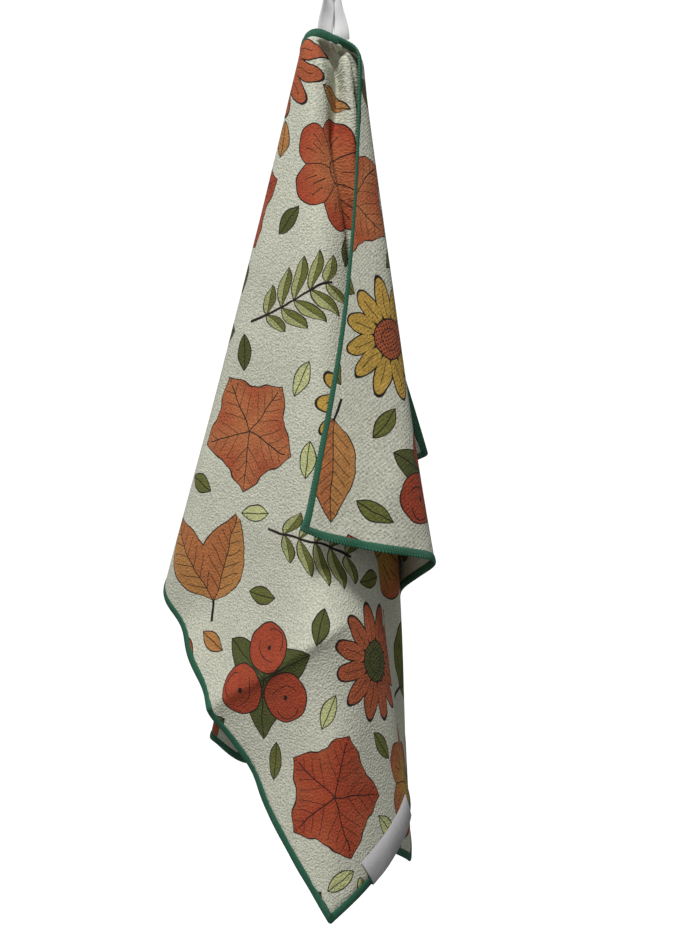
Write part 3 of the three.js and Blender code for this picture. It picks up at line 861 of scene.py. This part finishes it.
# The print's dyes
BRICK = (0.35, 0.058, 0.024)
RUST = (0.38, 0.095, 0.038)
ORANGE = (0.43, 0.145, 0.055)
AMBER = (0.44, 0.20, 0.062)
MUSTARD = (0.48, 0.30, 0.060)
OLIVE = (0.135, 0.145, 0.034)
MOSS = (0.080, 0.092, 0.024)
LIME = (0.50, 0.52, 0.24)
INK = (0.018, 0.012, 0.010)

# The print's layout: one motif to a cell, each second column half a cell lower, in lines of this
# half width that sway a little, with dots of this softness
CELL_ACROSS = 0.080
CELL_DOWN = 0.088
OUTLINE = 0.00042
SWAY_SCALE = 55.0
SWAY_REACH = 0.005
DOT_EDGE = 0.1


def folded(finish, x, y, copies):
    """The plane folded into one of several equal slices round its middle."""
    slice_angle = 2 * math.pi / copies
    turn = finish.math("ARCTAN2", y, x) + slice_angle / 2
    turn = finish.math("FLOORED_MODULO", turn, slice_angle) - slice_angle / 2
    reach = finish.math("SQRT", x * x + y * y)
    return reach * finish.math("COSINE", turn), reach * finish.math("SINE", turn), reach


def blossom(finish, x, y):
    """Six round petals, notched where they meet, round a dotted eye."""
    eye, middle, round_radius = 0.0085, 0.0225, 0.0158
    px, py, reach = folded(finish, x, y, 6)
    from_axis = finish.math("SQRT", (px - middle) * (px - middle) + py * py * 1.25)
    inner = finish.under(reach - middle)
    body = finish.most(finish.under(from_axis - round_radius), inner)
    core = finish.under(reach - eye)
    rim = finish.line(from_axis - round_radius, OUTLINE) * (1 - inner)
    seam = finish.under(px * 0.5774 - abs(py) - OUTLINE) * finish.under(reach - 0.029) * (1 - core)
    streak = finish.line(py, OUTLINE * 0.7) * finish.line(reach - 0.021, 0.0055)
    twig = finish.line(abs(py) - px * 0.17, OUTLINE * 0.6) * finish.line(reach - 0.026, 0.0045)
    dots = finish.wave(x, 0.0026) * finish.wave(y, 0.0026) * core
    ring = finish.line(reach - eye, OUTLINE)
    lines = finish.most(rim, seam, streak, twig, ring, finish.under(0.62 - dots, DOT_EDGE))
    shade = finish.math("MULTIPLY_ADD", reach, 27, -0.25, clamp=True)
    return body, lines, finish.most(1 - shade * 1.4, core)


def daisy(finish, x, y):
    """Twelve narrow petals round a broad seeded middle."""
    eye, middle, long, wide = 0.0125, 0.0240, 0.0135, 0.0059
    px, py, reach = folded(finish, x, y, 12)
    slim = (px - middle) * (wide / long)
    petal = finish.math("SQRT", slim * slim + py * py) - wide
    core = finish.under(reach - eye)
    body = finish.most(finish.under(petal), core)
    seeds = finish.wave(x + y, 0.0032) * finish.wave(x - y, 0.0032)
    lines = finish.most(
        finish.line(petal, OUTLINE) * (1 - core),
        finish.line(py, OUTLINE * 0.6) * finish.line(reach - 0.022, 0.0075) * (1 - core),
        finish.line(reach - eye, OUTLINE),
        finish.line(reach - eye * 0.55, OUTLINE * 0.6),
        finish.under(0.55 - seeds, DOT_EDGE) * core,
    )
    return body, lines, core


def leaf_pair(finish, x, y):
    """Two leaves that part from one stalk, each with a midrib and side veins."""
    tilt, long, wide = math.radians(27), 0.031, 0.0165
    side = abs(y)
    lx = (x + 0.026) * math.cos(tilt) + side * math.sin(tilt) - 0.033
    ly = side * math.cos(tilt) - (x + 0.026) * math.sin(tilt)
    t = lx / long
    half = (1 - t * t) * wide * (1 - t * 0.3)
    edge = abs(ly) - half
    body = finish.under(edge)
    vein = finish.math("PINGPONG", lx - abs(ly) * 0.9, 0.004)
    lines = finish.most(
        finish.line(edge, OUTLINE),
        finish.line(ly, OUTLINE * 0.8) * body,
        finish.under(vein - 0.0003) * finish.under(abs(ly) * 1.35 - half),
        finish.line(side, 0.0011) * finish.line(x + 0.031, 0.0075),
    )
    return body, lines, finish.under(ly) * 0.55


def lobed_leaf(finish, x, y):
    """A broad leaf with five points and a vein to each."""
    px, py, _ = folded(finish, x, y, 5)
    side = abs(py)
    half = (1 - px / 0.039) * 0.050 * (1 + finish.math("SINE", px * 420) * 0.14)
    edge = (side - half) * 0.72
    body = finish.under(edge)
    vein = finish.math("PINGPONG", px - side * 1.1, 0.0045)
    lines = finish.most(
        finish.line(edge, OUTLINE),
        finish.under(side - OUTLINE * 0.9) * finish.under(px - 0.034),
        finish.under(vein - 0.0003) * finish.under(side * 1.6 - half) * finish.under(0.008 - px),
    )
    shade = finish.math("MULTIPLY_ADD", side, 70, -0.1, clamp=True)
    return body, lines, shade * 0.7


def berries(finish, x, y):
    """Three round berries between three small leaves."""
    px, py, _ = folded(finish, x, y, 3)
    bx = px - 0.0192
    from_middle = finish.math("SQRT", bx * bx + py * py)
    berry = finish.under(from_middle - 0.0157)
    glint = finish.math("SQRT", (bx - 0.004) * (bx - 0.004) + (py - 0.004) * (py - 0.004))
    qx, qy, _ = folded(finish, 0 - x, 0 - y, 3)
    t = (qx - 0.0185) / 0.019
    edge = abs(qy) - (1 - t * t) * 0.0105
    leaf = finish.under(edge) * (1 - berry)
    lines = finish.most(
        finish.line(from_middle - 0.0157, OUTLINE),
        finish.line(glint - 0.008, OUTLINE * 0.8) * finish.under(0.010 - bx - py) * berry,
        finish.line(glint - 0.0125, OUTLINE * 0.6) * finish.under(bx + py + 0.004) * berry,
        finish.under(from_middle - 0.0015),
        finish.line(edge, OUTLINE) * (1 - berry),
        finish.line(qy, OUTLINE * 0.8) * leaf,
    )
    return finish.most(berry, leaf), lines, leaf


def sprig(finish, x, y):
    """Pairs of slanting leaflets along one stem."""
    step, long, wide = 0.0125, 0.0235, 0.0056
    side = abs(y)
    slant = x - side * 0.7
    pair = finish.math("ROUND", slant / step)
    beside = slant - pair * step
    t = side / ((1 - pair * pair * 0.085) * long)
    half = t * (1 - t) * (4 * wide)
    inside = finish.line(pair, 2.4)
    edge = abs(beside) - half
    body = finish.under(edge) * inside
    lines = finish.most(
        finish.line(edge, OUTLINE) * inside * finish.under(t - 1.02),
        finish.line(beside, OUTLINE * 0.6) * body,
        finish.line(side, 0.0008) * finish.line(x + 0.004, 0.034),
    )
    return body, lines, finish.under(beside) * 0.6


def leaflet(finish, x, y):
    """A small single leaf with its midrib, between the larger motifs."""
    t = x / 0.0118
    edge = abs(y) - (1 - t * t) * 0.0056
    body = finish.under(edge)
    return body, finish.most(finish.line(edge, OUTLINE), finish.line(y, OUTLINE * 0.8) * body)


# Each motif, and the two dyes of each of its three dye lots
Motif = namedtuple("Motif", "shape lots")
MOTIFS = [
    Motif(blossom, ((BRICK, ORANGE), (RUST, MUSTARD), (MUSTARD, AMBER))),
    Motif(leaf_pair, ((OLIVE, MOSS), (AMBER, RUST), (MOSS, OLIVE))),
    Motif(berries, ((RUST, OLIVE), (BRICK, MOSS), (ORANGE, OLIVE))),
    Motif(lobed_leaf, ((MUSTARD, ORANGE), (BRICK, RUST), (ORANGE, BRICK))),
    Motif(sprig, ((OLIVE, LIME), (LIME, OLIVE), (MOSS, OLIVE))),
    Motif(daisy, ((MUSTARD, RUST), (RUST, MOSS), (ORANGE, BRICK))),
]


def drawn(finish, column, row):
    """Three random numbers for a cell, the same each time."""
    chance = finish.add("ShaderNodeTexWhiteNoise", {"noise_dimensions": "2D"},
                        {"Vector": finish.vector(column, row, 0.0)})
    return finish.parts(finish.read(chance, "Color"))


def turned(finish, x, y, turn):
    """A place turned round the middle by a share of a full turn."""
    angle = turn * (2 * math.pi)
    cosine, sine = finish.math("COSINE", angle), finish.math("SINE", angle)
    return x * cosine + y * sine, y * cosine - x * sine


def print_design(finish, across, down, ground):
    """The printed colour at a flat place: one motif to a cell, each turned and dyed its own way."""
    place = finish.vector(across, down, 0.0)
    sway = finish.add("ShaderNodeTexNoise",
                      values={"Vector": place, "Scale": SWAY_SCALE, "Detail": 1.0})
    sway_across, sway_down, _ = finish.parts(finish.read(sway, "Color"))
    across = across + (sway_across - 0.5) * SWAY_REACH
    down = down + (sway_down - 0.5) * SWAY_REACH
    column = finish.math("FLOOR", across / CELL_ACROSS)
    lowered = down + finish.math("FLOORED_MODULO", column, 2.0) * (CELL_DOWN / 2)
    row = finish.math("FLOOR", lowered / CELL_DOWN)
    x = across - (column + 0.5) * CELL_ACROSS
    lot, turn, _ = drawn(finish, column, row)
    kind = finish.math("FLOORED_MODULO", column * 2 + row + 1, len(MOTIFS))
    mx, my = turned(finish, x, lowered - (row + 0.5) * CELL_DOWN, turn)
    masks = (0.0, 0.0, 0.0)
    for number, motif in enumerate(MOTIFS):
        chosen = finish.line(kind - number, 0.5)
        shape = motif.shape(finish, mx, my)
        masks = [mask + part * chosen for mask, part in zip(masks, shape)]
    body, lines, second = masks
    lots = [lot_dyes for motif in MOTIFS for lot_dyes in motif.lots]
    where = (kind + lot * 0.98 + 0.01) / len(MOTIFS)
    main, other = (finish.ramp(where, [(k / len(lots), dyes[side]) for k, dyes in enumerate(lots)])
                   for side in (0, 1))
    painted = finish.mix(second, main, other)

    gap = finish.math("ROUND", lowered / CELL_DOWN)
    hue, twist, _ = drawn(finish, column + 0.5, gap + finish.math("SIGN", x) * 0.25)
    gx, gy = turned(finish, abs(x) - CELL_ACROSS / 3, lowered - gap * CELL_DOWN, twist)
    small, small_lines = leaflet(finish, gx, gy)
    small, small_lines = small * (1 - body), small_lines * (1 - body)
    greens = finish.ramp(hue, [(0, OLIVE), (0.35, LIME), (0.6, AMBER), (0.8, MOSS)])

    brushed = finish.noise(place, 0.009, 3.0) * 0.5 + 0.75
    painted = finish.scaled(finish.mix(small, painted, greens), brushed)
    shown = finish.mix(finish.most(body, small), tuple(ground), painted)
    return finish.mix(finish.most(lines, small_lines), shown, INK)


def printed_cloth(colours):
    """Waffle microfiber with a pebbled grain, printed on both faces, coarser on the back and painted
    darker there as shade.
    """
    finish = Finish("printed_cloth", Roughness=0.9, Specular_IOR_Level=0.2,
                    Sheen_Weight=0.04, Sheen_Roughness=0.5)
    across, down, side = finish.mark("flat_place")
    back = finish.math("MULTIPLY_ADD", side, -0.5, 0.5, clamp=True)
    place = finish.vector(across, down, side)
    printed = print_design(finish, across, down, colours.ground)
    fleck_size, cloud_size, dash_size, pitch = 0.0013, 0.03, 0.0015, 0.0031
    sway_size, sway_reach = 0.005, 0.0026
    fleck = finish.noise(place, fleck_size, 1.0) - 0.5
    sway = finish.noise(place, sway_size, 0.0) * sway_reach
    cloud = finish.noise(place, cloud_size, 1.0) - 0.5
    waffle = (finish.wave(across + sway, pitch) - 0.5) * (finish.wave(down - sway, pitch) - 0.5)
    dashes = finish.vector((across + down) * 0.45, across - down, side)
    slanting = finish.noise(dashes, dash_size, 1.0) - 0.5
    weave = fleck * (1 - back * 0.4) + slanting * back * 0.7 + waffle * (0.14 + back * 0.30)
    # The back face is 15 per cent darker: painted shade for the flap, which turns the back to the front
    tone = weave * 0.9 + cloud * 0.12 + 1 - back * 0.15
    finish.set("Base Color", finish.scaled(printed, tone))
    finish.relief(weave, 0.0008)
    return finish.material


def binding_thread(pitch, colours):
    """Close rows of thread over the rim, with a knot at each stitch along the back's edge."""
    finish = Finish("binding_thread", Roughness=0.6, Specular_IOR_Level=0.35)
    thread_slant, width, fibre_size = 0.0006, 0.004, 0.0007
    along, reach, side = finish.mark("flat_place")
    thread = finish.wave(along + reach * thread_slant, pitch / 2)
    fibre = finish.noise(finish.vector(along, reach * width, side * width), fibre_size) - 0.5
    knot = finish.wave(along - reach * width, pitch)
    behind = finish.math("MULTIPLY_ADD", side, -1.0, 0.3, clamp=True)
    rim = finish.math("MULTIPLY_ADD", reach, 5.0, -3.7, clamp=True) * behind
    tone = (0.84 + thread * 0.32 + fibre * 0.5) * (1 - rim) + rim * (0.35 + knot * 2.0)
    finish.set("Base Color", finish.scaled(tuple(colours.binding), tone))
    finish.relief(thread * (1 - rim) + fibre + rim * knot * 2, 0.0003)
    return finish.material


def twill_tape(colours):
    """White tape with a slanting twill line."""
    finish = Finish("twill_tape", Roughness=0.85, Specular_IOR_Level=0.3, Sheen_Weight=0.05)
    across, along, side = finish.mark("flat_place")
    twill = finish.wave(along + across, 0.0013)
    fibre = finish.noise(finish.vector(across, along, side * 0.001), 0.0006, 2.0)
    finish.set("Base Color", finish.scaled(tuple(colours.tape), 0.86 + twill * 0.10 + fibre * 0.16))
    finish.relief(twill + fibre * 0.5, 0.00025)
    return finish.material


def label_satin(colours):
    """Bare woven satin, its threads running along the label, with a fine rib across."""
    finish = Finish("label_satin", Roughness=0.45, Specular_IOR_Level=0.4)
    across, down, lift = finish.mark("flat_place")
    thread = finish.wave(down, 0.0007)
    rib = finish.wave(across, 0.0011)
    fibre = finish.noise(finish.vector(across * 0.25, down, lift), 0.0006, 2.0)
    tone = 0.80 + thread * 0.10 + rib * 0.08 + fibre * 0.2
    finish.set("Base Color", finish.scaled(tuple(colours.label), tone))
    finish.relief(thread * 0.6 + rib + fibre, 0.00015)
    return finish.material


def paper_sweep():
    """A round floor of white paper that curves up into a wall."""
    profile = [(0, 0), (FLOOR_REACH / 2, 0), (FLOOR_REACH, 0)]
    for a in range(10, 91, 10):
        profile.append((FLOOR_REACH + SWEEP_CURVE * math.sin(math.radians(a)),
                        SWEEP_CURVE - SWEEP_CURVE * math.cos(math.radians(a))))
    profile.append((FLOOR_REACH + SWEEP_CURVE, SWEEP_TOP))
    points = []
    for radius, height in profile:
        for k in range(SWEEP_SIDES):
            a = 2 * math.pi * k / SWEEP_SIDES
            points.append((radius * math.cos(a), radius * math.sin(a), height - FLOOR_BELOW))
    faces = []
    for i in range(len(profile) - 1):
        for k in range(SWEEP_SIDES):
            here, there = i * SWEEP_SIDES, (i + 1) * SWEEP_SIDES
            other = (k + 1) % SWEEP_SIDES
            faces.append((here + k, here + other, there + other, there + k))
    mesh = bpy.data.meshes.new("sweep")
    mesh.from_pydata(points, [], faces)
    mesh.polygons.foreach_set("use_smooth", [True] * len(mesh.polygons))
    paper = Finish("sweep_paper", Base_Color=(0.9, 0.9, 0.9, 1), Roughness=0.9,
                   Emission_Color=(1, 1, 1, 1), Emission_Strength=0.6)
    mesh.materials.append(paper.material)
    sweep = bpy.data.objects.new("sweep", mesh)
    sweep.visible_diffuse = False
    sweep.visible_shadow = False
    sweep.visible_glossy = False
    return sweep


class TOWEL_OT_stage(Operator):
    """Set up the floor, the lights and the camera"""

    bl_idname = "towel.stage"
    bl_label = "Stage"

    def execute(self, context):
        scene = context.scene
        sweep = paper_sweep()
        scene.collection.objects.link(sweep)

        world = bpy.data.worlds.new("studio")
        world.use_nodes = True
        world.node_tree.nodes["Background"].inputs["Color"].default_value = (1, 1, 1, 1)
        world.node_tree.nodes["Background"].inputs["Strength"].default_value = ROOM_LIGHT
        scene.world = world

        for lamp in LAMPS:
            light = bpy.data.lights.new(lamp.name, "AREA")
            light.size = lamp.size
            light.energy = lamp.power
            stand = bpy.data.objects.new(lamp.name, light)
            stand.location = lamp.place
            towards = LIT_POINT - Vector(lamp.place)
            stand.rotation_euler = towards.to_track_quat("-Z", "Y").to_euler()
            scene.collection.objects.link(stand)

        camera = bpy.data.objects.new("camera", bpy.data.cameras.new("camera"))
        camera.location = CAMERA_PLACE
        camera.rotation_euler = (math.radians(90), 0, 0)
        camera.data.lens = SENSOR_SIZE * FOCAL_PIXELS / PHOTO_HEIGHT
        scene.collection.objects.link(camera)
        scene.camera = camera
        scene.view_settings.view_transform = "Standard"
        return {"FINISHED"}


class TOWEL_PT_panel(Panel):
    """Sizes, colours and pieces of the towel"""

    bl_idname = "TOWEL_PT_panel"
    bl_label = "Hand Towel"
    bl_space_type = "VIEW_3D"
    bl_region_type = "UI"
    bl_category = "Towel"

    def draw(self, context):
        layout = self.layout
        for group in (context.scene.towel_sizes, context.scene.towel_colours):
            box = layout.box()
            for name in group.__annotations__:
                box.prop(group, name)
        for operator in OPERATORS:
            layout.operator(operator.bl_idname)


GROUPS = (TowelSizes, TowelColours)
OPERATORS = (TOWEL_OT_cloth, TOWEL_OT_binding, TOWEL_OT_label, TOWEL_OT_loop, TOWEL_OT_stage)


def register():
    for cls in (*GROUPS, *OPERATORS, TOWEL_PT_panel):
        bpy.utils.register_class(cls)
    bpy.types.Scene.towel_sizes = PointerProperty(type=TowelSizes)
    bpy.types.Scene.towel_colours = PointerProperty(type=TowelColours)


def unregister():
    del bpy.types.Scene.towel_colours
    del bpy.types.Scene.towel_sizes
    for cls in reversed((*GROUPS, *OPERATORS, TOWEL_PT_panel)):
        bpy.utils.unregister_class(cls)


def main():
    register()
    bpy.ops.towel.cloth()
    bpy.ops.towel.binding()
    bpy.ops.towel.label()
    bpy.ops.towel.loop()
    bpy.ops.towel.stage()
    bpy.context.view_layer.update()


if __name__ == "__main__":
    main()
